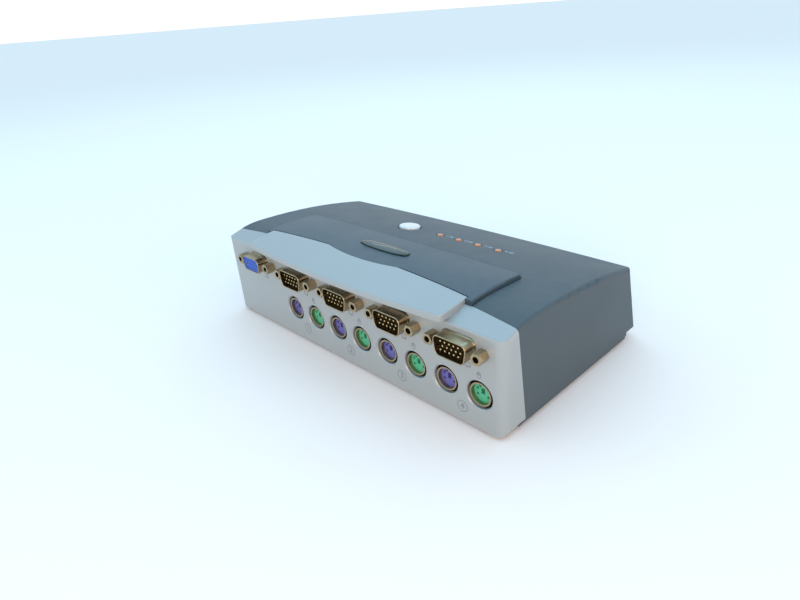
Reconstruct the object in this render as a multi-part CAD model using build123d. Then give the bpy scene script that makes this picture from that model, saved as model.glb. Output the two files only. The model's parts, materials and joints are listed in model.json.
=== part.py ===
from build123d import *
import os
from math import atan2, cos, degrees, radians, sin, sqrt, tan

# Four-computer keyboard, video and mouse switch. Millimetres, +Z up. The connector panel faces -Y and
# the origin is at the middle of the footprint, on the surface that the feet stand on.
# Shapes are drawn from three datums: x = 0 at mid width, y = 0 at the panel's face, z = 0 at the
# cover's lower edge. save() moves them to the part's own frame.

# Case
body_width = 197.0
body_depth = 114.5          # panel face to the rear wall at the height of rear_step
front_height = 42.2
band_depth = 8.5            # where the sloping band meets the crowned top
band_height = 44.6
crown_y = 20.0              # highest line of the top
crown_height = 46.2
rear_height = 38.0          # of the crown's line at rear_top_y
rear_top_run = 17.5         # the crown's line is measured this far ahead of body_depth
rear_rake = 18.0            # degrees
rear_bow = 4.0
wall = 2.2
front_corner = 4.5
rear_corner = 3.0
top_edge_round = 2.0
front_edge_round = 1.2
seam = 0.12
cheek_foot_y = 14.7         # side seam between the fascia and the cover, at the lower edge
cheek_top_y = 8.5
seam_bow = 7.5
skirt_drop = 2.5
skirt_depth = 10.5
skirt_corner = 3.5

# Raised hood on top
brow_edge = 3.5             # from the plateau's end to the hood's end
brow_end_y = -3.2
brow_overhang = 7.2
brow_under = 43.0
brow_front_height = 45.5
brow_rear_y = 13.9
brow_wing = (27.0, 17.8)
brow_dip_y = 14.4
brow_corner = 2.2
brow_edge_round = 0.7
plateau_edge = 25.0         # from the case's side to the plateau's end
plateau_front_y = 12.0
plateau_rear_y = 46.5
plateau_bow = 1.2
plateau_front = (14.0, 47.7)
plateau_peak = (28.0, 48.2)
plateau_back = (46.5, 47.1)
plateau_sink = 0.6
plateau_groove = 0.5
badge_length = 33.0
badge_width = 7.0
badge_place = (3.5, 30.0)
badge_end = 0.62             # of the half width, at the badge's blunt ends
badge_rise = 0.8
badge_sink = 0.4

# Tray, feet and screws
tray_thickness = 1.7
tray_drop = 1.8
tray_inset = 0.5
rim_height = 5.0
rim_thickness = 1.6
rear_step_run = 13.5
rear_step = 2.0
foot_radius = 6.0
foot_height = 2.2
foot_recess = 0.6
foot_edge = 16.5
foot_front_y = 18.0
foot_rear_run = 24.5
screw_radius = 1.4
screw_head_radius = 2.8
screw_head = 1.8
screw_length = 9.0
screw_slack = 0.05
pillar_radius = 4.0
pillar_edge = 10.5
pillar_front_y = 24.0
pillar_rear_run = 24.5
pillar_foot = 3.0

# Connectors
port_count = 4
port_pitch = 35.6
last_port_edge = 22.2       # from the case's right side to the last port
console_pitch = 36.5        # from the console connector to the first port
vga_z = 34.15
vga_stand = 6.0
vga_male = (17.8, 9.2)
vga_female = (16.5, 8.1)
vga_round = 2.6
shell_wall = 0.45
panel_gap = 0.5             # round each video shell in the panel
flange_size = (30.8, 12.5)
flange_thickness = 0.8
vga_body_depth = 11.0
pin_radius = 0.38
pin_pitch = 2.29
pin_row = 1.98
pin_stand = 5.0
jackscrew_spacing = 25.0
jackscrew_flat = 4.75
jackscrew_stand = 5.0
jackscrew_bore = 1.42
jackscrew_shank = 1.9
ps2_z = 14.14
ps2_offset = -7.9
ps2_hole = 6.5
ps2_ring = 5.4
ps2_bore = 4.7
ps2_ring_y = 0.8
ps2_face_y = 2.6
ps2_plate_y = 4.6            # the gap round the ring is this deep
ps2_plate = 0.4
ps2_housing = (14.0, 12.8)
ps2_depth = 11.0
contact_circle = 3.0
hole_chamfer = 0.5
dc_rear_run = 38.5
dc_pitch = 16.0             # from the power socket to the console's mouse socket
console_jack_pitch = 20.0
dc_hole = 4.2
dc_bore = 3.15
dc_pin = 1.0

# Boards and the push button
board = 1.6
board_front_y = 4.2
lower_board_rear_run = 28.5
upper_board_rear_y = 44.0
board_side_gap = 5.0
control_rear_run = 44.0
button_x = -19.5
button_radius = 6.0
button_gap = 0.5
button_rise = 1.3
button_travel = 1.0
led_first_x = 3.7
led_pitch = 12.9
led_radius = 1.8
led_rise = 0.5
led_gap = 0.2
dish_width = 1.2             # countersink round the button; half of it round each light
dish_depth = 0.5
control_board_depth = 9.0
ribbon_x = 30.0
ribbon_offset = 3.5         # behind the line of the button and lights
ribbon_width = 16.0
ribbon_thickness = 0.8
spacer_flat = 5.5
spacer_places = ((-50.0, 38.0), (-12.0, 38.0), (58.0, 38.0))
boss_edge = 28.5
boss_front_y = 24.0
boss_rear_run = 40.5
fit = 0.1

half = body_width / 2
rear_top_y = body_depth - rear_top_run
rear_step_y = body_depth - rear_step_run
plateau_half = half - plateau_edge
brow_half = plateau_half - brow_edge
foot_place = (half - foot_edge, foot_front_y, body_depth - foot_rear_run)
pillar_place = (half - pillar_edge, pillar_front_y, body_depth - pillar_rear_run)
first_port_x = half - last_port_edge - (port_count - 1) * port_pitch
console_x = first_port_x - console_pitch
ps2_pitch = port_pitch / 2
dc_y = body_depth - dc_rear_run
console_mouse_y = dc_y - dc_pitch
console_keyboard_y = console_mouse_y - console_jack_pitch
lower_board_rear_y = body_depth - lower_board_rear_run
control_y = body_depth - control_rear_run
ribbon_y = control_y + ribbon_offset
boss_rear_y = body_depth - boss_rear_run
boss_places = [(s * (half - boss_edge), y) for s in (-1, 1) for y in (boss_front_y, boss_rear_y)]
low = -30.0
far = 300.0
panel_y = (brow_overhang - body_depth) / 2
ground = tray_drop + foot_height
port_xs = [first_port_x + port_pitch * i for i in range(port_count)]
lower_top = ps2_z - ps2_housing[1] / 2
upper_top = vga_z - flange_size[1] / 2 - 0.4


def save(name, shape):
    solids = [Pos(0, panel_y, ground) * s for s in shape.solids()]
    whole = solids[0] if len(solids) == 1 else Compound(children=solids)
    export_step(whole, f"parts/{name}.step")


def arc_radius(run, drop):
    return (run**2 + drop**2) / (2 * drop)


def crown_z(y, rise=0.0):
    """Height of the crowned top behind the band."""
    run, drop = crown_y - band_depth, crown_height - band_height
    if y > crown_y:
        run, drop = rear_top_y - crown_y, crown_height - rear_height
    radius = arc_radius(run, drop)
    return crown_height - radius + sqrt(radius**2 - (y - crown_y) ** 2) + rise


def face_up(outline):
    """Face of a closed outline or a flat sketch, with its normal along +Z."""
    flat = outline.face() if isinstance(outline, Sketch) else make_face(outline).face()
    return flat if flat.normal_at().Z > 0 else -flat


def across(outline, width):
    """Prism of a (y, z) outline, centred on mid width."""
    return extrude(Plane.YZ * face_up(outline), width / 2, both=True)


def along(sketch, front, back):
    """Prism of an (x, z) sketch between two distances behind the panel's face."""
    return extrude(Plane.XZ.offset(-back) * sketch, back - front, dir=(0, -1, 0))


def upright(sketch, bottom, top):
    return extrude(Pos(0, 0, bottom) * sketch, top - bottom, dir=(0, 0, 1))


def rod(x, y, radius, bottom, top):
    return Pos(x, y, bottom) * Cylinder(radius, top - bottom, align=(Align.CENTER, Align.CENTER, Align.MIN))


def bore(x, z, radius, front, back):
    return along(Pos(x, z) * Circle(radius), front, back)


def block(x0, x1, y0, y1, z0, z1):
    middle = ((x0 + x1) / 2, (y0 + y1) / 2, (z0 + z1) / 2)
    return Pos(*middle) * Box(x1 - x0, y1 - y0, z1 - z0)


def join(shapes):
    first, *others = shapes
    return first + others if others else first


# ---- Case ----

def side_profile(inset, bottom):
    """Side view, open to the rear, where the raked wall closes it."""
    end = body_depth + 20
    front_mid = (band_depth + crown_y) / 2
    rear_mid = (crown_y + end) / 2
    top = [
        Line((0, bottom), (0, front_height)),
        Line((0, front_height), (band_depth, band_height)),
        ThreePointArc((band_depth, band_height), (front_mid, crown_z(front_mid)), (crown_y, crown_height)),
        ThreePointArc((crown_y, crown_height), (rear_mid, crown_z(rear_mid)), (end, crown_z(end))),
        Polyline((end, crown_z(end)), (end, bottom), (0, bottom)),
    ]
    face = face_up(top)
    if inset > 0:
        return offset(face, amount=-inset, kind=Kind.INTERSECTION)
    nose = [v for v in face.vertices() if abs(v.X) < 1e-6 and abs(v.Y - front_height) < 1e-6]
    return fillet(nose, front_edge_round)


def front_plan(inset):
    radius = max(front_corner - inset, 0.5)
    side = half - inset
    face = face_up(Polygon((-side, inset), (side, inset), (side, far), (-side, far), align=None))
    return fillet([v for v in face.vertices() if v.Y < far / 2], radius)


def rear_prism(inset):
    """Everything ahead of the rear wall, which leans forward and bows out at mid width."""
    lean = tan(radians(rear_rake))
    side = half - inset
    back = body_depth - inset / cos(radians(rear_rake)) + (rear_step - low) * lean
    corner_y = back - rear_bow
    lines = [
        Polyline((side, corner_y), (side, -far), (-side, -far), (-side, corner_y)),
        ThreePointArc((-side, corner_y), (0, back), (side, corner_y)),
    ]
    face = face_up(lines)
    face = fillet([v for v in face.vertices() if v.Y > 0], max(rear_corner - inset, 0.8))
    slope = Vector(0, -lean, 1)
    return extrude(Pos(0, 0, low) * face, (crown_height + 20 - low) * slope.length, dir=slope.normalized())


def body_form(inset, bottom=low):
    form = extrude(Plane.YZ * side_profile(inset, bottom), half - inset, both=True)
    if inset == 0:
        long_edges = [e for e in form.edges() if abs(abs(e.center().X) - half) < 1e-3 and e.center().Z > 30]
        top_edges = [e for e in long_edges if e.center().Y < body_depth + 15]
        form = fillet(top_edges, top_edge_round)
    form = form & upright(front_plan(inset), low, crown_height + 20)
    return form & rear_prism(inset)


def seam_region(gap=0.0):
    """Everything ahead of the seam between the fascia and the cover."""
    lean = (cheek_foot_y - cheek_top_y) / band_height
    foot = cheek_foot_y + gap - low * lean
    side = half + 10
    radius = arc_radius(half, seam_bow)
    end = foot + seam_bow - radius + sqrt(radius**2 - side**2)
    lines = [
        Polyline((side, end), (side, -far), (-side, -far), (-side, end)),
        ThreePointArc((-side, end), (0, foot + seam_bow), (side, end)),
    ]
    slope = Vector(0, -lean, 1)
    return extrude(Pos(0, 0, low) * face_up(lines), (80 - low) * slope.length, dir=slope.normalized())


def brow_plan(gap=0.0):
    side = brow_half + gap
    wing_x, wing_y = brow_wing
    mid_x = (side + wing_x) / 2
    mid_y = (brow_rear_y + wing_y) / 2 + 0.5
    lines = [
        ThreePointArc((-side, brow_end_y), (0, -brow_overhang), (side, brow_end_y)),
        Line((side, brow_end_y), (side, brow_rear_y + gap)),
        ThreePointArc((side, brow_rear_y + gap), (mid_x, mid_y + gap), (wing_x, wing_y + gap)),
        ThreePointArc((wing_x, wing_y + gap), (0, brow_dip_y + gap), (-wing_x, wing_y + gap)),
        ThreePointArc((-wing_x, wing_y + gap), (-mid_x, mid_y + gap), (-side, brow_rear_y + gap)),
        Line((-side, brow_rear_y + gap), (-side, brow_end_y)),
    ]
    face = face_up(lines)
    return fillet([v for v in face.vertices() if v.Y < 0], brow_corner)


def plateau_plan(grow=0.0):
    side = plateau_half + grow
    back = plateau_rear_y + grow
    lines = [
        Polyline((side, back - plateau_bow), (side, plateau_front_y - grow),
                 (-side, plateau_front_y - grow), (-side, back - plateau_bow)),
        ThreePointArc((-side, back - plateau_bow), (0, back), (side, back - plateau_bow)),
    ]
    return face_up(lines)


def hood_profile(rise=0.0):
    """Side view of everything under the hood's top, which is one line from brow to plateau."""
    start = -brow_overhang - 5
    slope = (plateau_front[1] - brow_front_height) / (plateau_front[0] + brow_overhang)
    lines = [
        Line((start, brow_front_height - 5 * slope + rise), (plateau_front[0], plateau_front[1] + rise)),
        ThreePointArc((plateau_front[0], plateau_front[1] + rise), (plateau_peak[0], plateau_peak[1] + rise),
                      (plateau_back[0], plateau_back[1] + rise)),
        Polyline((plateau_back[0], plateau_back[1] + rise), (plateau_back[0] + 5, plateau_back[1] + rise),
                 (plateau_back[0] + 5, brow_under), (start, brow_under),
                 (start, brow_front_height - 5 * slope + rise)),
    ]
    return lines


def badge_plan(grow=0.0):
    length = badge_length / 2 + grow
    width = badge_width / 2 + grow
    tip = badge_end * width
    lines = [
        Line((-length, -tip), (-length, tip)),
        ThreePointArc((-length, tip), (0, width), (length, tip)),
        Line((length, tip), (length, -tip)),
        ThreePointArc((length, -tip), (0, -width), (-length, -tip)),
    ]
    face = fillet(face_up(lines).vertices(), tip * 0.9)
    return Pos(*badge_place) * face


# ---- The tilted frame of the button and lights ----

control_slope = (crown_z(control_y + 0.5) - crown_z(control_y - 0.5))
control_tilt = degrees(atan2(control_slope, 1))
control_frame = Location((0, control_y, crown_z(control_y)), (control_tilt, 0, 0))
led_xs = [led_first_x + led_pitch * i for i in range(port_count)]


def control(shape):
    return control_frame * shape


def dished_hole(x, radius, width):
    """Cutter for a hole through the cover with a shallow countersink round it."""
    whole = rod(0, 0, radius, -wall - 1, 3) + Cone(radius, radius + 2 * width, 2 * dish_depth)
    return control(Pos(x, 0, 0) * Rot(0, 0, 90) * whole)


# ---- Connector outlines ----

def d_outline(size, grow=0.0):
    width, height = size[0] + 2 * grow, size[1] + 2 * grow
    lean = height * tan(radians(10))
    corners = [(-width / 2, height / 2), (width / 2, height / 2),
               (width / 2 - lean, -height / 2), (-width / 2 + lean, -height / 2)]
    return fillet(face_up(Polygon(*corners, align=None)).vertices(), max(vga_round + grow, 0.6))


def contact_places():
    rows = []
    for row in range(3):
        shift = pin_pitch / 4 if row == 1 else -pin_pitch / 4
        rows += [((i - 2) * pin_pitch + shift, (1 - row) * pin_row) for i in range(5)]
    return rows


vga_ports = [("console_vga", console_x, vga_female)]
vga_ports += [(f"vga_{i + 1}", x, vga_male) for i, x in enumerate(port_xs)]
jack_xs = []
for i, x in enumerate(port_xs):
    jack_xs += [(f"keyboard_{i + 1}", x + ps2_offset), (f"mouse_{i + 1}", x + ps2_offset + ps2_pitch)]

screw_xs = [x + s * jackscrew_spacing / 2 for _, x, _ in vga_ports for s in (-1, 1)]


def chamfered_hole(x, z, radius):
    cone = along(Circle(radius + hole_chamfer), -1, 0)
    edge = extrude(Plane.XZ * Circle(radius + hole_chamfer), -hole_chamfer * 2, taper=45)
    return Pos(x, 0, z) * (bore(0, 0, radius, -1, wall + 2) + cone + edge)


# ---- Shell parts ----

def pillar_spots():
    px, front, back = pillar_place
    return [(s * px, y) for s in (-1, 1) for y in (front, back)]


def side_jack(shape):
    """Turns what faces -Y at the panel so that it faces out of the left wall."""
    return Pos(-half, 0, 0) * Rot(0, 0, -90) * shape


outer = body_form(0)
inner = body_form(wall)
shell = outer - inner
pocket = upright(plateau_plan(plateau_groove), low, 80) - body_form(plateau_sink)

fascia = shell & seam_region() & block(-far, far, -far, far, -skirt_drop, far)
fascia -= block(-far, far, skirt_depth, far, low, 0)
skirt_view = face_up(Polygon((-half, -skirt_drop), (half, -skirt_drop), (half, 80), (-half, 80), align=None))
skirt_view = fillet([v for v in skirt_view.vertices() if v.Y < 0], skirt_corner)
fascia = fascia & along(skirt_view, -5, 60)
for _, x, size in vga_ports:
    fascia -= along(Pos(x, vga_z) * d_outline(size, panel_gap), -1, wall + 1)
for x in screw_xs:
    fascia -= bore(x, vga_z, jackscrew_shank + fit, -1, wall + 1)
for _, x in jack_xs:
    fascia -= chamfered_hole(x, ps2_z, ps2_hole)
fascia -= pocket

cover = (shell - seam_region(seam)) & block(-far, far, -far, far, 0, far)
cover -= block(-far, far, rear_step_y, far, low, rear_step)
pillars = join([rod(x, y, pillar_radius, pillar_foot, 60) for x, y in pillar_spots()])
cover = cover + (pillars & body_form(wall / 2)) - pocket
for x, y in pillar_spots():
    cover -= rod(x, y, screw_radius + screw_slack, pillar_foot - 1, pillar_foot + screw_length)
cover -= dished_hole(button_x, button_radius + button_gap, dish_width)
for x in led_xs:
    cover -= dished_hole(x, led_radius + led_gap, dish_width / 2)
for y in (console_keyboard_y, console_mouse_y):
    cover -= side_jack(chamfered_hole(-y, ps2_z, ps2_hole))
cover -= side_jack(bore(-dc_y, ps2_z, dc_hole, -1, wall + 2))

brow = upright(brow_plan(), low, 80) & across(hood_profile(), 2 * far)
# The rounded edge runs round the front and both ends, and stops at the scalloped rear.
upward = [f for f in brow.faces() if f.normal_at().Z > 0.8]
ends = [e for f in upward for e in f.edges() if abs(e.center().X) > brow_half - brow_corner]
fronts = [e for f in upward for e in f.edges() if e.center().Y < brow_end_y]
brow = fillet(ShapeList(set(ends + fronts)), brow_edge_round)
brow = brow - outer

plateau = upright(plateau_plan(), low, 80) & across(hood_profile(), 2 * far)
rim_edges = [e for e in plateau.edges() if e.center().Z > crown_height + 0.3 and
             (e.center().Y > plateau_rear_y - 3 or abs(e.center().X) > plateau_half - 0.5)]
plateau = fillet(rim_edges, 0.7)
plateau = plateau - body_form(plateau_sink) - upright(brow_plan(seam), low, 80)

badge_top = across(hood_profile(badge_rise), 2 * far)
badge_floor = across(hood_profile(-badge_sink), 2 * far)
badge = (upright(badge_plan(), low, 80) & badge_top) - badge_floor
plateau -= upright(badge_plan(fit), low, 80) - badge_floor

# ---- Tray ----

floor_slab = block(-far, far, -far, far, -tray_drop, -tray_drop + tray_thickness)
# Behind rear_step_y the floor is higher and stays inside the cover's walls, clear of the rear edge.
nest = body_form(wall + fit)
nest_core = body_form(wall + fit + rim_thickness)
tray_bottom = -tray_drop
raised = rear_step - fit - tray_thickness
wide = body_form(tray_inset) & floor_slab & block(-far, far, skirt_depth + fit, rear_step_y, -10, 10)
tray = wide + (nest & floor_slab & block(-far, far, 0, rear_step_y, -10, 10))
tray += (nest - nest_core) & block(-far, far, wall, rear_step_y, tray_bottom, rim_height)
tray += (nest - nest_core) & block(-far, far, rear_step_y - 1, far, raised, rim_height)
tray += nest & block(-far, far, rear_step_y - tray_thickness, far, raised, raised + tray_thickness)
tray += nest & block(-far, far, rear_step_y - tray_thickness, rear_step_y, tray_bottom, raised + tray_thickness)
foot_x, foot_front, foot_back = foot_place
foot_spots = [(s * foot_x, y) for s in (-1, 1) for y in (foot_front, foot_back)]
head_top = pillar_foot - 1.6
for x, y in pillar_spots():
    tray += rod(x, y, pillar_radius + 0.5, -tray_drop, pillar_foot - fit)
for x, y in boss_places:
    tray += rod(x, y, 3.2, -tray_drop, lower_top - board)
tray = tray & body_form(tray_inset)
for x, y in pillar_spots():
    tray -= rod(x, y, screw_head_radius + 0.3, -tray_drop - 1, head_top)
    tray -= rod(x, y, screw_radius + 0.3, -tray_drop - 1, 20)
for x, y in boss_places:
    tray -= rod(x, y, screw_radius + screw_slack, lower_top - board - screw_length, 20)
for x, y in foot_spots:
    tray -= rod(x, y, foot_radius + 0.15, -tray_drop - 1, -tray_drop + foot_recess)

feet = []
for x, y in foot_spots:
    foot = rod(x, y, foot_radius, -ground, -tray_drop + foot_recess)
    feet.append(chamfer(foot.edges().sort_by(Axis.Z)[0], 0.6))
feet = Compound(children=feet)

# ---- Screws ----

def screw(x, y, seat, up):
    """Self-tapping screw; seat is the height under its head, up says which way the shank points."""
    sign = 1 if up else -1
    shank = rod(0, 0, screw_radius, 0, screw_length - 1)
    head = rod(0, 0, screw_head_radius, -screw_head, 0)
    head = fillet(head.edges().sort_by(Axis.Z)[0], 0.8)
    slot = block(-2, 2, -0.4, 0.4, -screw_head - 1, -screw_head + 0.7)
    slot += block(-0.4, 0.4, -2, 2, -screw_head - 1, -screw_head + 0.7)
    whole = shank + head - slot
    return Pos(x, y, seat) * (whole if sign > 0 else Rot(180, 0, 0) * whole)


spots = [(x, y, head_top, True) for x, y in pillar_spots()]
spots += [(x, y, lower_top, False) for x, y in boss_places]
spots += [(x, y, upper_top, False) for x, y in spacer_places]
screws = Compound(children=[screw(*s).solids()[0] for s in spots])

# ---- Boards ----

inner_x = half - wall - board_side_gap
notch = pillar_radius + 1
notches = [block(x - notch, x + notch, y - notch, y + notch, -10, 60) for x, y in pillar_spots()]
notches += [block(s * half - notch * 2, s * half + notch * 2, pillar_place[1] - notch,
                  pillar_place[1] + notch, -10, 60) for s in (-1, 1)]
notches = join(notches)
lower_board = block(-inner_x, inner_x, board_front_y, lower_board_rear_y, lower_top - board, lower_top)
lower_board -= notches
for x, y in boss_places:
    lower_board -= rod(x, y, screw_radius + 0.15, -10, 60)
upper_board = block(-inner_x, inner_x, board_front_y, upper_board_rear_y, upper_top - board, upper_top)
upper_board -= notches
for x, y in spacer_places:
    upper_board -= rod(x, y, screw_radius + 0.15, -10, 60)
spacers = []
for x, y in spacer_places:
    hexagon = Pos(x, y) * RegularPolygon(spacer_flat / 2, 6, major_radius=False)
    spacer = upright(hexagon, lower_top, upper_top - board)
    spacers.append(spacer - rod(x, y, screw_radius + screw_slack, upper_top - board - screw_length, 60))
spacers = Compound(children=[s.solids()[0] for s in spacers])
header = block(10, 44, 34, 39, lower_top, upper_top - board)
controller = chamfer(block(22, 38, 52, 68, lower_top, lower_top + 2.4).edges().group_by(Axis.Z)[-1], 0.4)
chips = Compound(children=[block(x - 6, x + 6, 24, 31, upper_top, upper_top + 1.8) for x in port_xs])

board_top = -control_board_depth
control_board = control(block(-34, 52, -9, 9, board_top - board, board_top))
ribbon = block(ribbon_x, ribbon_x + ribbon_width, ribbon_y, ribbon_y + ribbon_thickness, lower_top, 60)
ribbon -= control(block(-half, half, -50, 50, board_top - board, 60))

# ---- Push button, its switch and the lights ----

flange_top = -wall - 0.2
switch_top = board_top + 3.8
plunger_top = switch_top + 0.8
cap = rod(button_x, 0, button_radius, flange_top - 0.5, button_rise)
cap = fillet(cap.edges().sort_by(Axis.Z)[-1], 1.1)
cap += rod(button_x, 0, button_radius + 1.2, flange_top - 1, flange_top)
cap += rod(button_x, 0, 1.5, plunger_top + 0.05, flange_top)
switch_body = block(button_x - 3, button_x + 3, -3, 3, board_top, switch_top)
switch_body -= rod(button_x, 0, 1.8, board_top + 0.4, switch_top + 1)
plunger = rod(button_x, 0, 1.6, board_top + 0.4 + button_travel + 0.2, plunger_top)
leds = []
for x in led_xs:
    lamp = rod(x, 0, led_radius, board_top, led_rise)
    leds.append(control(fillet(lamp.edges().sort_by(Axis.Z)[-1], 0.9)))

# ---- VGA connectors ----

flange_y = wall + fit


def vga_shell(x, size):
    inside = d_outline(size, -shell_wall)
    plate = along(Pos(x, vga_z) * RectangleRounded(*flange_size, 1.5), flange_y, flange_y + flange_thickness)
    tube = along(Pos(x, vga_z) * d_outline(size), -vga_stand, flange_y + flange_thickness)
    whole = plate + tube - along(Pos(x, vga_z) * inside, -vga_stand - 1, flange_y + 5)
    for s in (-1, 1):
        whole -= bore(x + s * jackscrew_spacing / 2, vga_z, jackscrew_shank + fit, -1, 20)
    return whole


def vga_insulator(x, size, face_y):
    back = flange_y + flange_thickness
    inside = Pos(x, vga_z) * d_outline(size, -shell_wall - 0.02)
    whole = along(inside, face_y, back)
    whole += along(Pos(x, vga_z) * Rectangle(*flange_size), back, back + vga_body_depth)
    for s in (-1, 1):
        whole -= bore(x + s * jackscrew_spacing / 2, vga_z, jackscrew_shank + fit, -1, back + 6)
    for px, pz in contact_places():
        whole -= bore(x + px, vga_z + pz, pin_radius + 0.02, face_y - 1, back + 5)
    return whole


def vga_pins(x, front_y):
    back = flange_y + flange_thickness + 4.9
    return Compound(children=[bore(x + px, vga_z + pz, pin_radius, front_y, back).solids()[0]
                              for px, pz in contact_places()])


def jackscrew(x):
    hexagon = Pos(x, vga_z) * RegularPolygon(jackscrew_flat / 2, 6, major_radius=False)
    whole = along(hexagon, -jackscrew_stand, 0) + bore(x, vga_z, jackscrew_shank, 0, flange_y + 5.5)
    return (whole - bore(x, vga_z, jackscrew_bore, -jackscrew_stand - 1, 1)).solids()[0]


# ---- PS/2 sockets, drawn facing -Y on the z axis of the row ----

def ps2_shield():
    plate = along(Rectangle(*ps2_housing), ps2_plate_y, ps2_plate_y + ps2_plate)
    tube = along(Circle(ps2_ring), ps2_ring_y, ps2_plate_y + 4)
    return plate + tube - along(Circle(ps2_bore), -1, 30)


def ps2_housing_block():
    plate_back = ps2_plate_y + ps2_plate
    whole = along(Rectangle(*ps2_housing), plate_back, plate_back + ps2_depth)
    whole -= along(Circle(ps2_ring + 0.05), 0, ps2_plate_y + 4.05)
    whole += along(Circle(ps2_bore - 0.05), ps2_face_y, plate_back + ps2_depth)
    for angle in (-62, -28, 28, 62, 118, 242):
        turn = radians(angle + 90)
        whole -= bore(contact_circle * cos(turn), contact_circle * sin(turn), 0.6, 0, ps2_face_y + 4)
    return whole - along(Pos(0, 0.6) * Rectangle(1.8, 2.6), 0, ps2_face_y + 4)


def dc_socket():
    back = wall + fit
    body = along(Pos(0, 0) * Rectangle(9, 11), back, back + 13)
    nose = along(Circle(dc_hole - 0.3), 0.4, back + 1)
    hollow = along(Circle(dc_bore), -1, back + 9)
    return body + nose - hollow + along(Circle(dc_pin), 1.5, back + 10)


os.makedirs("parts", exist_ok=True)
save("top_cover", cover)
save("fascia", fascia)
save("brow_trim", brow)
save("plateau_cover", plateau)
save("badge", badge)
save("base_tray", tray)
save("rubber_feet", feet)
save("tapping_screws", screws)
save("lower_board", lower_board)
save("upper_board", upper_board)
save("control_board", control_board)
save("board_spacers", spacers)
save("board_header", header)
save("control_ribbon", ribbon)
save("controller_chip", controller)
save("video_chips", chips)
save("button_cap", control(cap))
save("switch_body", control(switch_body))
save("switch_plunger", control(plunger))
for i, lamp in enumerate(leds):
    save(f"led_{i + 1}", lamp)
for name, x, size in vga_ports:
    female = name == "console_vga"
    save(f"{name}_shell", vga_shell(x, size))
    save(f"{name}_insulator", vga_insulator(x, size, -vga_stand + 0.3 if female else 0.3))
    save(f"{name}_pins", vga_pins(x, -vga_stand + 1.5 if female else -pin_stand))
save("jackscrews", Compound(children=[jackscrew(x) for x in screw_xs]))
for name, x in jack_xs:
    save(f"{name}_shield", Pos(x, 0, ps2_z) * ps2_shield())
    save(f"{name}_housing", Pos(x, 0, ps2_z) * ps2_housing_block())
for name, y in (("console_keyboard", console_keyboard_y), ("console_mouse", console_mouse_y)):
    save(f"{name}_shield", side_jack(Pos(-y, 0, ps2_z) * ps2_shield()))
    save(f"{name}_housing", side_jack(Pos(-y, 0, ps2_z) * ps2_housing_block()))
save("dc_jack", side_jack(Pos(-dc_y, 0, ps2_z) * dc_socket()))
print("panel y", panel_y, "ground", ground, "control tilt", control_tilt)
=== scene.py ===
"""Finishes, prints and studio stage for a four-computer keyboard, video and mouse switch."""

import json
import math

import bmesh
import bpy
from mathutils import Matrix, Vector


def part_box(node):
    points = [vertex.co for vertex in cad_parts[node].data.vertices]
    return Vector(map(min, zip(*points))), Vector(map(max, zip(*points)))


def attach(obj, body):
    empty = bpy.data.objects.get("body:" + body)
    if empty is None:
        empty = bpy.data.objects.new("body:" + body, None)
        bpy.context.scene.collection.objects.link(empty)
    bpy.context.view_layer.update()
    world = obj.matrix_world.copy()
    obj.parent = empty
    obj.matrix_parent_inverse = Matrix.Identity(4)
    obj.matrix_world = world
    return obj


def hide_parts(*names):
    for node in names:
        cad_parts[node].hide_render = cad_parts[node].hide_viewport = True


bl_info = {
    "name": "Switch box finish",
    "version": (1, 0, 0),
    "blender": (4, 5, 0),
    "location": "3D View > Sidebar > Switch box",
    "description": "Finishes the case, connectors and boards of a desktop switch box and prints its panel",
    "category": "Object",
}

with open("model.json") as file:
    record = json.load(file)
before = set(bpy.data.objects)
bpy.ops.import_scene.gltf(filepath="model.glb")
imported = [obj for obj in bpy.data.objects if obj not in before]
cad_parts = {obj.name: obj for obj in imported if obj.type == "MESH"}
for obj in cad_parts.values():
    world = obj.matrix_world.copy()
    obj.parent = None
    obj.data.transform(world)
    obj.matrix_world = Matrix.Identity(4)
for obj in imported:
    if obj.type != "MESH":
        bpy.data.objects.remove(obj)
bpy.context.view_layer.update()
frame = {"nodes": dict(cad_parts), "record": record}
NODES = frame["nodes"]
SLOT_OF = {s["node"]: s["material_slot"] for s in frame["record"]["subparts"]}

MM = 0.001
PORTS = (1, 2, 3, 4)
CASE = "case"
PANEL_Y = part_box("fascia")[0][1]
VIDEO_PLUG = (17.8 * MM, 9.2 * MM)
VIDEO_SOCKET = (16.5 * MM, 8.1 * MM)
VIDEO_CORNER = 2.6 * MM
CAMERA_SHIFT = (-0.0079, 0.0012)


# ---- Places read from the frame ----

def centre_of(node):
    """Middle of a node's box."""
    low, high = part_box(node)
    return (Vector(low) + Vector(high)) / 2


def span_of(node):
    """Size of a node's box."""
    low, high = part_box(node)
    return Vector(high) - Vector(low)


def land_on(node, x, y):
    """Point and outward normal where a plumb line first meets a node."""
    bpy.context.view_layer.update()
    hit, place, normal, _ = NODES[node].ray_cast(Vector((x, y, 1.0)), Vector((0, 0, -1)))
    if not hit:
        raise RuntimeError(f"nothing of {node} lies under {x:.4f}, {y:.4f}")
    return place, normal


# ---- Shared shader groups ----

def add_node(tree, kind, inputs=(), **settings):
    """A shader node with its settings made and its inputs set or linked."""
    node = tree.nodes.new(kind)
    for key, value in settings.items():
        setattr(node, key, value)
    for socket, value in inputs:
        if isinstance(value, bpy.types.NodeSocket):
            tree.links.new(value, node.inputs[socket])
        else:
            node.inputs[socket].default_value = value
    return node


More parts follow.
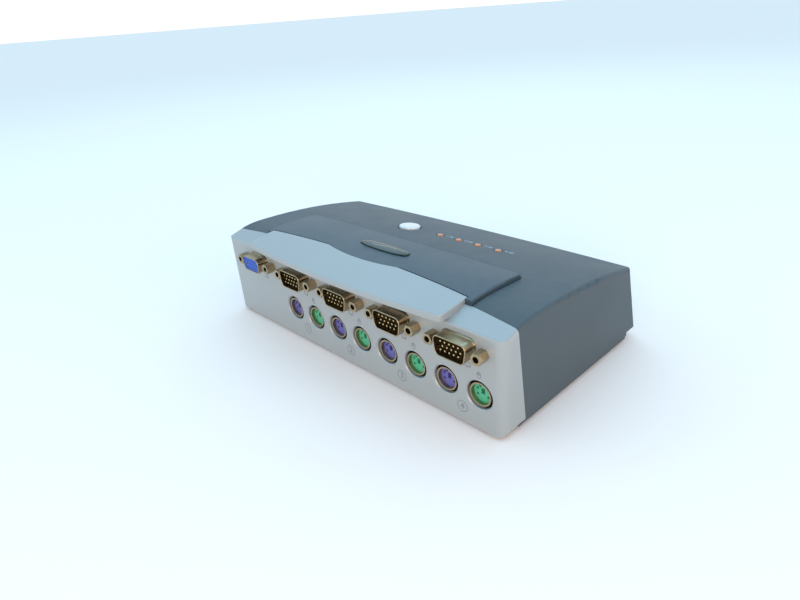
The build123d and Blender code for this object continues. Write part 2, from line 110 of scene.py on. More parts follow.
def new_group(name, inputs, outputs):
    """An empty shader group with its sockets, its input node and its output node."""
    tree = bpy.data.node_groups.new(name, "ShaderNodeTree")
    for label, kind, default in inputs:
        socket = tree.interface.new_socket(label, in_out="INPUT", socket_type=kind)
        if default is not None:
            socket.default_value = default
    for label, kind in outputs:
        tree.interface.new_socket(label, in_out="OUTPUT", socket_type=kind)
    return tree, tree.nodes.new("NodeGroupInput"), tree.nodes.new("NodeGroupOutput")


def moulded_grain_group():
    """Fine moulded or sprayed texture: a height for a bump and a small change of gloss."""
    tree, source, result = new_group(
        "moulded_grain",
        [("Vector", "NodeSocketVector", None), ("Scale", "NodeSocketFloat", 2500.0),
         ("Roughness", "NodeSocketFloat", 0.5), ("Gloss change", "NodeSocketFloat", 0.1)],
        [("Height", "NodeSocketFloat"), ("Roughness", "NodeSocketFloat")])
    fine = add_node(tree, "ShaderNodeTexNoise", [("Vector", source.outputs["Vector"]),
                    ("Scale", source.outputs["Scale"]), ("Detail", 3.0), ("Roughness", 0.6)])
    cells = add_node(tree, "ShaderNodeTexVoronoi", [("Vector", source.outputs["Vector"]),
                     ("Scale", source.outputs["Scale"])], feature="SMOOTH_F1")
    height = add_node(tree, "ShaderNodeMath", [(0, fine.outputs["Fac"]), (1, cells.outputs["Distance"])],
                      operation="ADD")
    patches = add_node(tree, "ShaderNodeTexNoise", [("Vector", source.outputs["Vector"]), ("Scale", 45.0),
                       ("Detail", 4.0)])
    centred = add_node(tree, "ShaderNodeMath", [(0, patches.outputs["Fac"]), (1, 0.5)], operation="SUBTRACT")
    change = add_node(tree, "ShaderNodeMath", [(0, centred.outputs[0]), (1, source.outputs["Gloss change"])],
                      operation="MULTIPLY")
    gloss = add_node(tree, "ShaderNodeMath", [(0, source.outputs["Roughness"]), (1, change.outputs[0])],
                     operation="ADD", use_clamp=True)
    tree.links.new(height.outputs[0], result.inputs["Height"])
    tree.links.new(gloss.outputs[0], result.inputs["Roughness"])
    return tree


def uneven_tone_group():
    """Slow and fine changes of a colour, as handling and ageing leave on a moulding."""
    tree, source, result = new_group(
        "uneven_tone",
        [("Vector", "NodeSocketVector", None), ("Colour", "NodeSocketColor", (0.5, 0.5, 0.5, 1)),
         ("Second colour", "NodeSocketColor", (0.4, 0.4, 0.4, 1)), ("Scale", "NodeSocketFloat", 30.0),
         ("Amount", "NodeSocketFloat", 0.5)],
        [("Colour", "NodeSocketColor")])
    cloud = add_node(tree, "ShaderNodeTexNoise", [("Vector", source.outputs["Vector"]),
                     ("Scale", source.outputs["Scale"]), ("Detail", 5.0), ("Roughness", 0.65)])
    share = add_node(tree, "ShaderNodeMath", [(0, cloud.outputs["Fac"]), (1, source.outputs["Amount"])],
                     operation="MULTIPLY", use_clamp=True)
    mix = add_node(tree, "ShaderNodeMix", [(0, share.outputs[0]), (6, source.outputs["Colour"]),
                   (7, source.outputs["Second colour"])], data_type="RGBA")
    tree.links.new(mix.outputs[2], result.inputs["Colour"])
    return tree


def settled_dust_group():
    """Pale dust on faces that look up, broken by a cloudy pattern."""
    tree, source, result = new_group(
        "settled_dust",
        [("Vector", "NodeSocketVector", None), ("Colour", "NodeSocketColor", (0.5, 0.5, 0.5, 1)),
         ("Dust colour", "NodeSocketColor", (0.5, 0.5, 0.48, 1)), ("Amount", "NodeSocketFloat", 0.1)],
        [("Colour", "NodeSocketColor")])
    geometry = add_node(tree, "ShaderNodeNewGeometry")
    split = add_node(tree, "ShaderNodeSeparateXYZ", [(0, geometry.outputs["Normal"])])
    facing = add_node(tree, "ShaderNodeMapRange", [("Value", split.outputs["Z"]), ("From Min", 0.3),
                      ("From Max", 1.0)])
    cloud = add_node(tree, "ShaderNodeTexNoise", [("Vector", source.outputs["Vector"]), ("Scale", 260.0),
                     ("Detail", 6.0), ("Roughness", 0.7)])
    patches = add_node(tree, "ShaderNodeMapRange", [("Value", cloud.outputs["Fac"]), ("From Min", 0.42),
                       ("From Max", 0.75)])
    where = add_node(tree, "ShaderNodeMath", [(0, facing.outputs[0]), (1, patches.outputs[0])],
                     operation="MULTIPLY")
    share = add_node(tree, "ShaderNodeMath", [(0, where.outputs[0]), (1, source.outputs["Amount"])],
                     operation="MULTIPLY", use_clamp=True)
    mix = add_node(tree, "ShaderNodeMix", [(0, share.outputs[0]), (6, source.outputs["Colour"]),
                   (7, source.outputs["Dust colour"])], data_type="RGBA")
    tree.links.new(mix.outputs[2], result.inputs["Colour"])
    return tree


def shared_group(name):
    makers = {"moulded_grain": moulded_grain_group, "uneven_tone": uneven_tone_group,
              "settled_dust": settled_dust_group}
    return bpy.data.node_groups.get(name) or makers[name]()


# ---- Materials ----

def finish(name, colour, second=None, roughness=0.5, metallic=0.0, grain=2500.0, depth=0.00002, bump=0.3,
           gloss_change=0.15, tone_scale=30.0, tone=0.6, dust=0.0, coat=0.0, coat_roughness=0.1, specular=0.5,
           painted_glow=0.0):
    """One surface finish: uneven colour, settled dust, moulded grain, an optional painted glow and the plain
    shader numbers.
    """
    material = bpy.data.materials.get(name)
    if material:
        return material
    material = bpy.data.materials.new(name)
    material.use_nodes = True
    tree = material.node_tree
    shader = tree.nodes["Principled BSDF"]
    place = add_node(tree, "ShaderNodeTexCoord").outputs["Object"]
    second = second or tuple(c * 0.78 for c in colour)
    tone_node = add_node(tree, "ShaderNodeGroup", node_tree=shared_group("uneven_tone"))
    tree.links.new(place, tone_node.inputs["Vector"])
    tone_node.inputs["Colour"].default_value = (*colour, 1)
    tone_node.inputs["Second colour"].default_value = (*second, 1)
    tone_node.inputs["Scale"].default_value = tone_scale
    tone_node.inputs["Amount"].default_value = tone
    surface = tone_node.outputs["Colour"]
    if dust > 0:
        dust_node = add_node(tree, "ShaderNodeGroup", node_tree=shared_group("settled_dust"))
        tree.links.new(place, dust_node.inputs["Vector"])
        tree.links.new(surface, dust_node.inputs["Colour"])
        dust_node.inputs["Amount"].default_value = dust
        surface = dust_node.outputs["Colour"]
    grain_node = add_node(tree, "ShaderNodeGroup", node_tree=shared_group("moulded_grain"))
    tree.links.new(place, grain_node.inputs["Vector"])
    grain_node.inputs["Scale"].default_value = grain
    grain_node.inputs["Roughness"].default_value = roughness
    grain_node.inputs["Gloss change"].default_value = gloss_change
    relief = add_node(tree, "ShaderNodeBump", [("Strength", bump), ("Distance", depth),
                      ("Height", grain_node.outputs["Height"])])
    tree.links.new(surface, shader.inputs["Base Color"])
    tree.links.new(grain_node.outputs["Roughness"], shader.inputs["Roughness"])
    tree.links.new(relief.outputs["Normal"], shader.inputs["Normal"])
    shader.inputs["Metallic"].default_value = metallic
    shader.inputs["Coat Weight"].default_value = coat
    shader.inputs["Coat Roughness"].default_value = coat_roughness
    shader.inputs["Specular IOR Level"].default_value = specular
    # The surface colour also glows here: a painted glow, not a lamp.
    if painted_glow > 0:
        tree.links.new(surface, shader.inputs["Emission Color"])
        shader.inputs["Emission Strength"].default_value = painted_glow
    return material


def slot_finish(slot, colours):
    """The finish of one material slot of the record."""
    dark, silver = tuple(colours.dark_case), tuple(colours.silver_case)
    recipes = {
        "dark_case": dict(colour=dark, roughness=0.50, grain=2600, bump=0.35, dust=0.03, specular=0.5),
        "dark_panel": dict(colour=tuple(colours.dark_panel), roughness=0.42, grain=3200, bump=0.18,
                           dust=0.03),
        "silver_case": dict(colour=silver, second=tuple(c * 0.90 for c in silver), roughness=0.42,
                            metallic=0.25, grain=5200, bump=0.12, gloss_change=0.1, dust=0.06, coat=0.15,
                            coat_roughness=0.35),
        "silver_button": dict(colour=tuple(colours.button), roughness=0.32, metallic=0.35, grain=5200,
                              bump=0.08, coat=0.3, coat_roughness=0.2),
        "badge": dict(colour=tuple(colours.badge), roughness=0.30, grain=1800, bump=0.05, coat=0.2,
                      coat_roughness=0.08),
        "rubber": dict(colour=(0.02, 0.02, 0.021), roughness=0.8, grain=1500, bump=0.5),
        "steel": dict(colour=(0.52, 0.53, 0.55), roughness=0.36, metallic=1.0, grain=3000, bump=0.1),
        "nickel": dict(colour=tuple(colours.nickel), second=tuple(colours.nickel_stain), roughness=0.27,
                       metallic=1.0, grain=2600, bump=0.12, gloss_change=0.3, tone_scale=240.0, tone=0.9),
        "board": dict(colour=(0.016, 0.10, 0.045), roughness=0.38, grain=900, bump=0.1, coat=0.2),
        "black_plastic": dict(colour=(0.02, 0.02, 0.022), roughness=0.55, grain=2500, bump=0.3),
        "ribbon": dict(colour=(0.35, 0.36, 0.38), roughness=0.6, grain=1200, bump=0.2),
        "white_plastic": dict(colour=(0.72, 0.72, 0.69), roughness=0.5, grain=2500, bump=0.2),
        # The amber lenses get a faint painted glow (emission 0.12); no lamp stands in them.
        "amber_lens": dict(colour=tuple(colours.lens), roughness=0.25, grain=1500, bump=0.03, coat=0.5,
                           coat_roughness=0.1, painted_glow=0.12),
        "gold_pin": dict(colour=(0.80, 0.62, 0.30), roughness=0.25, metallic=1.0, grain=4000, bump=0.05),
        "blue_insulator": dict(colour=tuple(colours.blue), roughness=0.45, grain=3000, bump=0.2),
        "dark_insulator": dict(colour=(0.022, 0.020, 0.018), roughness=0.5, grain=3000, bump=0.2),
        "purple_insulator": dict(colour=tuple(colours.purple), roughness=0.42, grain=3000, bump=0.2),
        "green_insulator": dict(colour=tuple(colours.green), roughness=0.42, grain=3000, bump=0.2),
    }
    return finish(f"{slot}_finish", **recipes[slot])


def coat_nodes(slots, colours):
    """Gives each node in these slots its finish."""
    for name, node in NODES.items():
        if SLOT_OF[name] in slots:
            node.data.materials.clear()
            node.data.materials.append(slot_finish(SLOT_OF[name], colours))


# ---- Mesh helpers ----

def link_piece(name, mesh, material, body=CASE, smooth=False):
    """Puts a finished mesh in the scene as a piece that rides a body."""
    piece = bpy.data.objects.new(name, mesh)
    bpy.context.scene.collection.objects.link(piece)
    if material:
        mesh.materials.append(material)
    for face in mesh.polygons:
        face.use_smooth = smooth
    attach(piece, body)
    return piece


def mesh_from(bm, name):
    """Turns a bmesh into a mesh whose faces point outwards, and frees it."""
    bmesh.ops.recalc_face_normals(bm, faces=bm.faces)
    mesh = bpy.data.meshes.new(name)
    bm.to_mesh(mesh)
    bm.free()
    return mesh


def front_place(x, z):
    """Turns a drawing in its own x and y upright onto the connector panel, facing -Y."""
    return Matrix.Translation((x, PANEL_Y, z)) @ Matrix.Rotation(math.pi / 2, 4, "X")


def surface_place(place, normal):
    """Lays a drawing flat on a surface, its top towards the rear."""
    across = Vector((1, 0, 0))
    up = normal.normalized()
    along = up.cross(across).normalized()
    turn = Matrix((along.cross(up), along, up)).transposed().to_4x4()
    return Matrix.Translation(place) @ turn


def add_strip(bm, x0, y0, x1, y1):
    """A flat printed rectangle."""
    grid = bmesh.ops.create_grid(bm, x_segments=1, y_segments=1, size=0.5)
    bmesh.ops.scale(bm, vec=(x1 - x0, y1 - y0, 1), verts=grid["verts"])
    bmesh.ops.translate(bm, vec=((x0 + x1) / 2, (y0 + y1) / 2, 0), verts=grid["verts"])


def add_ring(bm, x, y, radius_x, radius_y, stroke, segments=40):
    """A flat printed outline: an ellipse, or a rectangle when it has four segments."""
    made = bmesh.ops.create_circle(bm, cap_ends=False, segments=segments, radius=1.0)["verts"]
    if segments == 4:
        bmesh.ops.rotate(bm, verts=made, matrix=Matrix.Rotation(math.pi / 4, 3, "Z"))
        bmesh.ops.scale(bm, vec=(math.sqrt(2), math.sqrt(2), 1), verts=made)
    edges = list({e for v in made for e in v.link_edges})
    bmesh.ops.scale(bm, vec=(radius_x, radius_y, 1), verts=made)
    extruded = bmesh.ops.extrude_edge_only(bm, edges=edges)["geom"]
    inner = [g for g in extruded if isinstance(g, bmesh.types.BMVert)]
    bmesh.ops.scale(bm, vec=((radius_x - stroke) / radius_x, (radius_y - stroke) / radius_y, 1), verts=inner)
    bmesh.ops.translate(bm, vec=(x, y, 0), verts=made + inner)


def add_text(bm, text, size, x, y):
    """A numeral or other plain text as a flat mesh, centred on a point."""
    curve = bpy.data.curves.new("numeral", "FONT")
    curve.body = text
    curve.size = size
    curve.align_x = "CENTER"
    curve.align_y = "CENTER"
    holder = bpy.data.objects.new("numeral", curve)
    bpy.context.scene.collection.objects.link(holder)
    bpy.context.view_layer.update()
    flat = bpy.data.meshes.new_from_object(holder.evaluated_get(bpy.context.evaluated_depsgraph_get()))
    before = set(bm.verts)
    bm.from_mesh(flat)
    bmesh.ops.translate(bm, vec=(x, y, 0), verts=[v for v in bm.verts if v not in before])
    bpy.data.objects.remove(holder)
    bpy.data.curves.remove(curve)
    bpy.data.meshes.remove(flat)


def loft(bm, rings, capped):
    """Extrudes the first ring through the others; capped closes both ends, otherwise it meets itself."""
    verts = [bm.verts.new(place) for place in rings[0]]
    edges = [bm.edges.new((verts[i - 1], verts[i])) for i in range(len(verts))]
    if capped:
        bmesh.ops.contextual_create(bm, geom=edges)
    for ring in rings[1:] + ([] if capped else [rings[0]]):
        made = bmesh.ops.extrude_edge_only(bm, edges=edges)["geom"]
        fresh = {g for g in made if isinstance(g, bmesh.types.BMVert)}
        verts = [next(e.other_vert(v) for e in v.link_edges if e.other_vert(v) in fresh) for v in verts]
        edges = [g for g in made if isinstance(g, bmesh.types.BMEdge) and fresh.issuperset(g.verts)]
        for vert, place in zip(verts, ring):
            vert.co = place
    if capped:
        bmesh.ops.contextual_create(bm, geom=edges)
    else:
        bmesh.ops.remove_doubles(bm, verts=bm.verts, dist=0.001 * MM)


def connector_outline(width, height, grow, depth, steps=6):
    """Points of a video connector's outline: a rounded trapezium, wider at the top."""
    half_w, half_h, lean = width / 2, height / 2, height * math.tan(math.radians(10))
    # Each corner: its place, the angle at which its arc starts, the arc's sweep.
    corners = ((half_w, half_h, -10, 100), (-half_w, half_h, 90, 100), (-half_w + lean, -half_h, 190, 80),
               (half_w - lean, -half_h, 270, 80))
    points = []
    for x, y, first, sweep in corners:
        reach = VIDEO_CORNER / math.tan(math.radians(90 - sweep / 2))
        centre_x = x - math.copysign(reach, x)
        centre_y = y - math.copysign(VIDEO_CORNER, y)
        for i in range(steps + 1):
            angle = math.radians(first + sweep * i / steps)
            points.append((centre_x + (VIDEO_CORNER + grow) * math.cos(angle),
                           centre_y + (VIDEO_CORNER + grow) * math.sin(angle), depth))
    return points


def print_piece(name, bm, place, thickness, material):
    """Gives a flat drawing the thickness of its ink and puts it in place."""
    bmesh.ops.recalc_face_normals(bm, faces=bm.faces)
    flipped = [f for f in bm.faces if f.normal.z < 0]
    bmesh.ops.reverse_faces(bm, faces=flipped)
    made = bmesh.ops.extrude_face_region(bm, geom=list(bm.faces))["geom"]
    raised = [g for g in made if isinstance(g, bmesh.types.BMVert)]
    bmesh.ops.translate(bm, vec=(0, 0, thickness), verts=raised)
    bmesh.ops.transform(bm, matrix=place, verts=bm.verts)
    return link_piece(name, mesh_from(bm, name), material)


# ---- Settings ----

def colour_setting(name, description, default):
    return bpy.props.FloatVectorProperty(name=name, description=description, subtype="COLOR", size=3,
                                         min=0.0, max=1.0, default=default)


def length_setting(name, description, default):
    return bpy.props.FloatProperty(name=name, description=description, subtype="DISTANCE", unit="LENGTH",
                                   default=default)


class SwitchColours(bpy.types.PropertyGroup):
    """Colours of the mouldings, metals and inks."""
    dark_case: colour_setting("Dark case", "Cover and tray", (0.050, 0.070, 0.082))
    dark_panel: colour_setting("Raised panel", "Raised panel behind the hood", (0.040, 0.068, 0.088))
    silver_case: colour_setting("Silver case", "Front, cheeks and hood", (0.35, 0.375, 0.38))
    button: colour_setting("Button", "Select button", (0.74, 0.75, 0.76))
    badge: colour_setting("Badge", "Oval badge", (0.012, 0.030, 0.024))
    nickel: colour_setting("Nickel", "Connector shells and jackscrews", (0.52, 0.42, 0.27))
    nickel_stain: colour_setting("Nickel stain", "Darker patches on the plating", (0.28, 0.19, 0.10))
    lens: colour_setting("Lens", "Port lights", (0.50, 0.16, 0.035))
    blue: colour_setting("Blue insulator", "Console video connector", (0.015, 0.075, 0.42))
    purple: colour_setting("Purple insulator", "Keyboard sockets", (0.11, 0.11, 0.36))
    green: colour_setting("Green insulator", "Mouse sockets", (0.07, 0.40, 0.22))
    panel_ink: colour_setting("Panel ink", "Prints on the silver front", (0.16, 0.17, 0.20))
    top_ink: colour_setting("Top ink", "Prints beside the port lights", (0.42, 0.50, 0.55))


class SwitchPrints(bpy.types.PropertyGroup):
    """Sizes of the prints."""
    ink: length_setting("Ink", "Thickness of the ink", 0.03 * MM)
    stroke: length_setting("Stroke", "Width of a printed line", 0.28 * MM)
    numeral: length_setting("Numeral", "Height of the port numerals", 4.2 * MM)
    number_ring: length_setting("Number ring", "Radius of the ring round a port numeral", 2.8 * MM)
    number_drop: length_setting("Number drop", "From the sockets' centre down to the numeral", 9.3 * MM)
    icon_rise: length_setting("Icon rise", "From the sockets' centre up to the mouse mark", 9.6 * MM)


class SwitchStage(bpy.types.PropertyGroup):
    """Camera, floor and light."""
    azimuth: bpy.props.FloatProperty(name="Azimuth", description="Turn of the camera about Z",
                                     subtype="ANGLE", default=math.radians(46.87))
    elevation: bpy.props.FloatProperty(name="Elevation", description="Height angle of the camera",
                                       subtype="ANGLE", default=math.radians(26.37))
    roll: bpy.props.FloatProperty(name="Roll", description="Tilt of the camera about its own line",
                                  subtype="ANGLE", default=math.radians(-4.34))
    place: bpy.props.FloatVectorProperty(name="Place",
                                         description="Where the camera stands, with Y from the panel",
                                         subtype="TRANSLATION", size=3, default=(0.20806, -0.14968, 0.15718))
    lens: bpy.props.FloatProperty(name="Lens", description="Focal length in millimetres", default=26.44)
    sky: colour_setting("Sky light", "Cool light from above", (0.46, 0.77, 1.0))
    lamp: colour_setting("Warm light", "Warm light from the front", (1.0, 0.68, 0.46))


# ---- Operators ----

class SWITCH_OT_case(bpy.types.Operator):
    """Finish the cover, tray, silver front, hood, raised panel and feet"""
    bl_idname = "switch.finish_case"
    bl_label = "Finish the case"

    def execute(self, context):
        coat_nodes({"dark_case", "dark_panel", "silver_case", "silver_button", "rubber", "amber_lens",
                    "badge"}, context.scene.switch_colours)
        return {"FINISHED"}


class SWITCH_OT_connectors(bpy.types.Operator):
    """Finish the shells, insulators, pins and jackscrews"""
    bl_idname = "switch.finish_connectors"
    bl_label = "Finish the connectors"

    def execute(self, context):
        coat_nodes({"nickel", "gold_pin", "blue_insulator", "dark_insulator", "purple_insulator",
                    "green_insulator"}, context.scene.switch_colours)
        return {"FINISHED"}


class SWITCH_OT_rims(bpy.types.Operator):
    """Add the rolled lip and the flared root that a stamped shell has"""
    bl_idname = "switch.roll_shells"
    bl_label = "Roll the shells"

    lip: length_setting("Lip", "How far the lip rolls past the shell's end", 0.14 * MM)
    flare: length_setting("Flare", "Spread of the shell's root", 0.36 * MM)
    metal: length_setting("Metal", "Thickness of the shell's metal", 0.45 * MM)

    def execute(self, context):
        material = slot_finish("nickel", context.scene.switch_colours)
        stand = PANEL_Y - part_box("vga_1_shell")[0][1]
        for name in [f"vga_{port}_shell" for port in PORTS] + ["console_vga_shell"]:
            size = VIDEO_SOCKET if name.startswith("console") else VIDEO_PLUG
            middle = centre_of(name)
            place = front_place(middle.x, middle.z)
            # Each pair is how far the section stands off the shell, and how far out from the panel.
            lip = ((-self.metal, stand - 0.3 * MM), (-self.metal, stand),
                   (-self.metal * 0.7, stand + self.lip), (-self.metal * 0.25, stand + self.lip),
                   (0.05 * MM, stand), (0.05 * MM, stand - 0.4 * MM), (-0.04 * MM, stand - 0.5 * MM))
            root = ((-0.03 * MM, 1.1 * MM), (0.04 * MM, 0.8 * MM), (self.flare / 3, 0.35 * MM),
                    (self.flare, 0.08 * MM), (self.flare, 0.0), (-0.03 * MM, 0.0))
            bm = bmesh.new()
            for section in (lip, root):
                loft(bm, [connector_outline(*size, grow, depth) for grow, depth in section], capped=False)
            bmesh.ops.transform(bm, matrix=place, verts=bm.verts)
            piece = name.replace("shell", "rim")
            link_piece(piece, mesh_from(bm, piece), material, smooth=True)
        return {"FINISHED"}


class SWITCH_OT_inside(bpy.types.Operator):
    """Finish the boards, chips, spacers, screws and switch inside the case"""
    bl_idname = "switch.finish_inside"
    bl_label = "Finish the inside"

    def execute(self, context):
        coat_nodes({"board", "black_plastic", "ribbon", "white_plastic", "steel"},
                   context.scene.switch_colours)
        return {"FINISHED"}


class SWITCH_OT_panel_prints(bpy.types.Operator):
    """Print the port numerals and the keyboard, mouse and screen marks on the silver front"""
    bl_idname = "switch.print_panel"
    bl_label = "Print the panel"

    def execute(self, context):
        prints = context.scene.switch_prints
        colours = context.scene.switch_colours
        ink = finish("panel_ink", tuple(colours.panel_ink), roughness=0.6, grain=4000, bump=0.1)
        for port in PORTS:
            keyboard = centre_of(f"keyboard_{port}_housing")
            mouse = centre_of(f"mouse_{port}_housing")
            screen = centre_of(f"vga_{port}_shell")
            self.number(port, keyboard, mouse, prints, ink)
            self.mouse_mark(port, mouse, prints, ink)
            self.screen_mark(f"screen_mark_{port}", screen, prints, ink)
        self.screen_mark("screen_mark_console", centre_of("console_vga_shell"), prints, ink)
        return {"FINISHED"}

    def number(self, port, keyboard, mouse, prints, ink):
        bm = bmesh.new()
        add_ring(bm, 0, 0, prints.number_ring, prints.number_ring, prints.stroke)
        add_text(bm, str(port), prints.numeral, 0, 0)
        place = front_place((keyboard.x + mouse.x) / 2, keyboard.z - prints.number_drop)
        print_piece(f"port_number_{port}", bm, place, prints.ink, ink)

    def mouse_mark(self, port, mouse, prints, ink):
        bm = bmesh.new()
        add_ring(bm, 0, 0, 1.1 * MM, 1.6 * MM, prints.stroke, 28)
        add_strip(bm, -prints.stroke / 2, 0.1 * MM, prints.stroke / 2, 1.4 * MM)
        add_strip(bm, -0.9 * MM, 0.1 * MM, 0.9 * MM, 0.1 * MM + prints.stroke)
        place = front_place(mouse.x, mouse.z + prints.icon_rise)
        print_piece(f"mouse_mark_{port}", bm, place, prints.ink, ink)

    def screen_mark(self, name, screen, prints, ink):
        """A keyboard mark and a small screen mark side by side below a video connector."""
        bm = bmesh.new()
        add_ring(bm, -5.2 * MM, 0, 2.6 * MM, 0.95 * MM, prints.stroke, 4)
        for row in (-0.3, 0.3):
            add_strip(bm, -7.2 * MM, (row - 0.12) * MM, -3.2 * MM, (row + 0.12) * MM)
        add_ring(bm, 4.4 * MM, 0.2 * MM, 1.5 * MM, 1.05 * MM, prints.stroke, 4)
        add_strip(bm, 3.5 * MM, -1.25 * MM, 5.3 * MM, -1.0 * MM)
        place = front_place(screen.x, screen.z - 7.6 * MM)
        print_piece(name, bm, place, prints.ink, ink)


class SWITCH_OT_badge(bpy.types.Operator):
    """Make the oval badge: a rolled rim round a shallow dome, with a plain pale wave on it"""
    bl_idname = "switch.make_badge"
    bl_label = "Make the badge"

    rim: length_setting("Rim", "Width of the rolled rim", 0.45 * MM)
    dome: length_setting("Dome", "Rise of the middle above the rim", 0.25 * MM)
    segments: bpy.props.IntProperty(name="Segments", description="Steps round each blunt end", default=10)

    def execute(self, context):
        colours = context.scene.switch_colours
        middle, span = centre_of("badge"), span_of("badge")
        place, normal = land_on("badge", middle.x, middle.y)
        seat = surface_place(place, normal)
        self.body(span, seat, slot_finish("badge", colours))
        self.wave(span, seat, finish("badge_wave", (0.22, 0.30, 0.27), roughness=0.35, grain=3000, bump=0.05))
        return {"FINISHED"}

    def body(self, span, seat, material):
        half_x, half_y = span.x / 2, span.y / 2
        # Each pair is how far in from the edge, and how high.
        levels = ((0.0, -1.0 * MM), (0.0, -0.30 * MM), (0.12 * MM, -0.06 * MM), (self.rim / 2, 0.0),
                  (self.rim, -0.06 * MM), (1.0 * MM, self.dome / 2), (2.0 * MM, self.dome * 0.9),
                  (3.0 * MM, self.dome))
        steps = 4 * self.segments
        rings = []
        for inset, rise in levels:
            ring = []
            for step in range(steps):
                angle = 2 * math.pi * step / steps
                x, y = math.cos(angle), math.sin(angle)
                ring.append(((half_x - inset) * math.copysign(abs(x) ** 0.77, x),
                             (half_y - inset) * math.copysign(abs(y) ** 0.77, y), rise))
            rings.append(ring)
        bm = bmesh.new()
        loft(bm, rings, capped=True)
        bmesh.ops.transform(bm, matrix=seat, verts=bm.verts)
        piece = link_piece("oval_badge", mesh_from(bm, "oval_badge"), material, smooth=True)
        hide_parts("badge")

    def wave(self, span, seat, material):
        bm = bmesh.new()
        length, width = span.x * 0.70, 0.55 * MM
        made = bmesh.ops.create_grid(bm, x_segments=36, y_segments=1, size=0.5)["verts"]
        bmesh.ops.scale(bm, vec=(length, width, 1), verts=made)
        for vert in made:
            along = vert.co.x / length * 2
            vert.co.y = vert.co.y * (1 - 0.8 * along**2) + 0.8 * MM * math.sin(along * math.pi)
            vert.co.z = self.dome * (1 - abs(along) ** 3) + 0.02 * MM
        print_piece("badge_wave", bm, seat, 0.05 * MM, material)


class SWITCH_OT_top_prints(bpy.types.Operator):
    """Print a numeral and a short bar beside each port light"""
    bl_idname = "switch.print_top"
    bl_label = "Print the top"

    def execute(self, context):
        prints = context.scene.switch_prints
        ink = finish("top_ink", tuple(context.scene.switch_colours.top_ink), roughness=0.55, grain=4000,
                     bump=0.1)
        for port in PORTS:
            lamp = centre_of(f"led_{port}")
            place, normal = land_on("top_cover", lamp.x + 5.6 * MM, lamp.y + 2.2 * MM)
            bm = bmesh.new()
            add_text(bm, str(port), 3.0 * MM, -1.9 * MM, 0)
            add_strip(bm, -0.2 * MM, -0.75 * MM, 2.6 * MM, -0.35 * MM)
            add_strip(bm, -0.2 * MM, 0.35 * MM, 2.6 * MM, 0.75 * MM)
            print_piece(f"light_label_{port}", bm, surface_place(place, normal), prints.ink, ink)
        return {"FINISHED"}


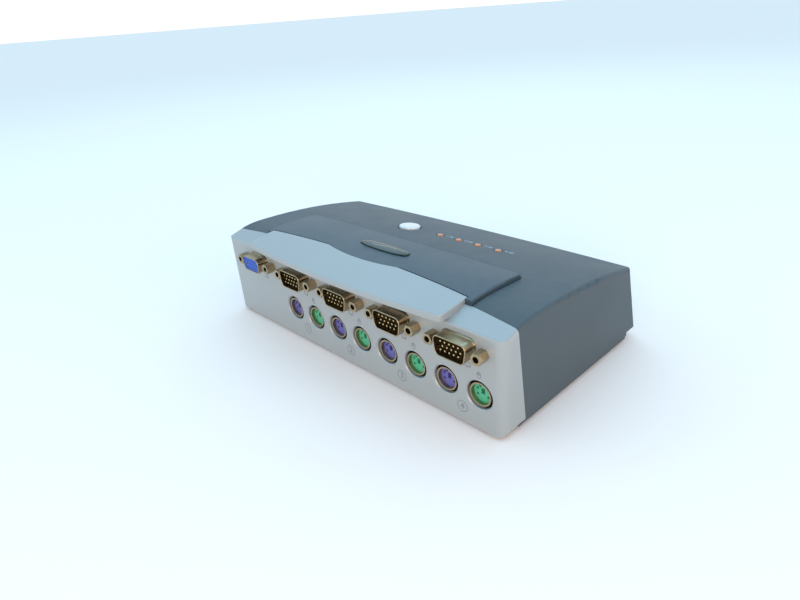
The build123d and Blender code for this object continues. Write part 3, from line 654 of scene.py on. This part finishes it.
class SWITCH_OT_stage(bpy.types.Operator):
    """Set up the floor, the soft lights and the camera"""
    bl_idname = "switch.stage"
    bl_label = "Set the stage"

    def execute(self, context):
        stage = context.scene.switch_stage
        self.floor()
        self.lights(stage)
        self.camera(stage)
        return {"FINISHED"}

    def floor(self):
        bm = bmesh.new()
        bmesh.ops.create_grid(bm, x_segments=2, y_segments=2, size=30.0)
        mesh = mesh_from(bm, "floor")
        for face in mesh.polygons:
            if face.normal.z < 0:
                mesh.flip_normals()
                break
        floor = bpy.data.objects.new("floor", mesh)
        bpy.context.scene.collection.objects.link(floor)
        mesh.materials.append(finish("floor", (1.0, 0.86, 0.80), second=(0.99, 0.85, 0.79), roughness=0.9,
                                     grain=300, bump=0.02, specular=0.1))

    def area(self, name, place, aim, size, power, colour):
        data = bpy.data.lights.new(name, "AREA")
        data.shape = "RECTANGLE"
        data.size, data.size_y = size
        data.energy = power
        data.color = colour
        lamp = bpy.data.objects.new(name, data)
        lamp.location = place
        lamp.rotation_euler = (Vector(aim) - Vector(place)).to_track_quat("-Z", "Y").to_euler()
        bpy.context.scene.collection.objects.link(lamp)

    def lights(self, stage):
        middle = (0.0, 0.0, 0.03)
        cool, warm = tuple(stage.sky), tuple(stage.lamp)
        self.area("sky", (-0.30, 0.55, 1.05), middle, (1.4, 1.2), 4.0, cool)
        self.area("left", (-0.75, -0.65, 0.50), (-0.08, -0.05, 0.03), (0.5, 0.5), 0.9, cool)
        self.area("front", (0.42, -0.62, 0.22), (0.08, -0.05, 0.02), (0.35, 0.25), 2.0, warm)
        self.area("side", (0.95, 0.10, 0.25), middle, (0.4, 0.4), 1.5, warm)
        self.dome(cool)
        bpy.context.scene.view_settings.view_transform = "Standard"

    def dome(self, cool):
        """A pale horizon all round that turns to cool sky overhead."""
        world = bpy.data.worlds.new("studio")
        world.use_nodes = True
        tree = world.node_tree
        height = add_node(tree, "ShaderNodeSeparateXYZ", [(0, add_node(tree, "ShaderNodeTexCoord")
                          .outputs["Generated"])])
        rise = add_node(tree, "ShaderNodeMapRange", [("Value", height.outputs["Z"]), ("From Min", 0.02),
                        ("From Max", 0.75)], interpolation_type="SMOOTHSTEP")
        blend = add_node(tree, "ShaderNodeMix", [(0, rise.outputs[0]), (6, (1.0, 0.99, 0.98, 1)),
                         (7, (*cool, 1))], data_type="RGBA")
        tree.links.new(blend.outputs[2], tree.nodes["Background"].inputs["Color"])
        tree.nodes["Background"].inputs["Strength"].default_value = 1.2
        bpy.context.scene.world = world

    def camera(self, stage):
        data = bpy.data.cameras.new("camera")
        data.lens = stage.lens
        data.sensor_width = 36.0
        data.clip_start = 0.01
        data.shift_x, data.shift_y = CAMERA_SHIFT
        camera = bpy.data.objects.new("camera", data)
        turn = Matrix.Rotation(stage.azimuth, 4, "Z") @ Matrix.Rotation(math.pi / 2 - stage.elevation, 4, "X")
        camera.matrix_world = (Matrix.Translation(Vector(stage.place) + Vector((0, PANEL_Y, 0))) @ turn
                               @ Matrix.Rotation(stage.roll, 4, "Z"))
        bpy.context.scene.collection.objects.link(camera)
        bpy.context.scene.camera = camera


class SWITCH_PT_panel(bpy.types.Panel):
    """Everything that makes the switch box"""
    bl_idname = "SWITCH_PT_panel"
    bl_label = "Switch box"
    bl_space_type = "VIEW_3D"
    bl_region_type = "UI"
    bl_category = "Switch box"

    def draw(self, context):
        for operator in OPERATORS:
            self.layout.operator(operator.bl_idname)
        for group in (context.scene.switch_colours, context.scene.switch_prints, context.scene.switch_stage):
            box = self.layout.box()
            for name in group.bl_rna.properties.keys():
                if name not in {"rna_type", "name"}:
                    box.prop(group, name)


OPERATORS = (SWITCH_OT_stage, SWITCH_OT_case, SWITCH_OT_connectors, SWITCH_OT_rims, SWITCH_OT_inside,
             SWITCH_OT_badge, SWITCH_OT_panel_prints, SWITCH_OT_top_prints)
CLASSES = (SwitchColours, SwitchPrints, SwitchStage, *OPERATORS, SWITCH_PT_panel)


def register():
    for cls in CLASSES:
        bpy.utils.register_class(cls)
    bpy.types.Scene.switch_colours = bpy.props.PointerProperty(type=SwitchColours)
    bpy.types.Scene.switch_prints = bpy.props.PointerProperty(type=SwitchPrints)
    bpy.types.Scene.switch_stage = bpy.props.PointerProperty(type=SwitchStage)


def unregister():
    for name in ("switch_colours", "switch_prints", "switch_stage"):
        delattr(bpy.types.Scene, name)
    for cls in reversed(CLASSES):
        bpy.utils.unregister_class(cls)


def main():
    register()
    bpy.ops.switch.stage()
    bpy.ops.switch.finish_case()
    bpy.ops.switch.finish_connectors()
    bpy.ops.switch.finish_inside()
    bpy.ops.switch.roll_shells()
    bpy.ops.switch.make_badge()
    bpy.ops.switch.print_panel()
    bpy.ops.switch.print_top()


if __name__ == "__main__":
    main()
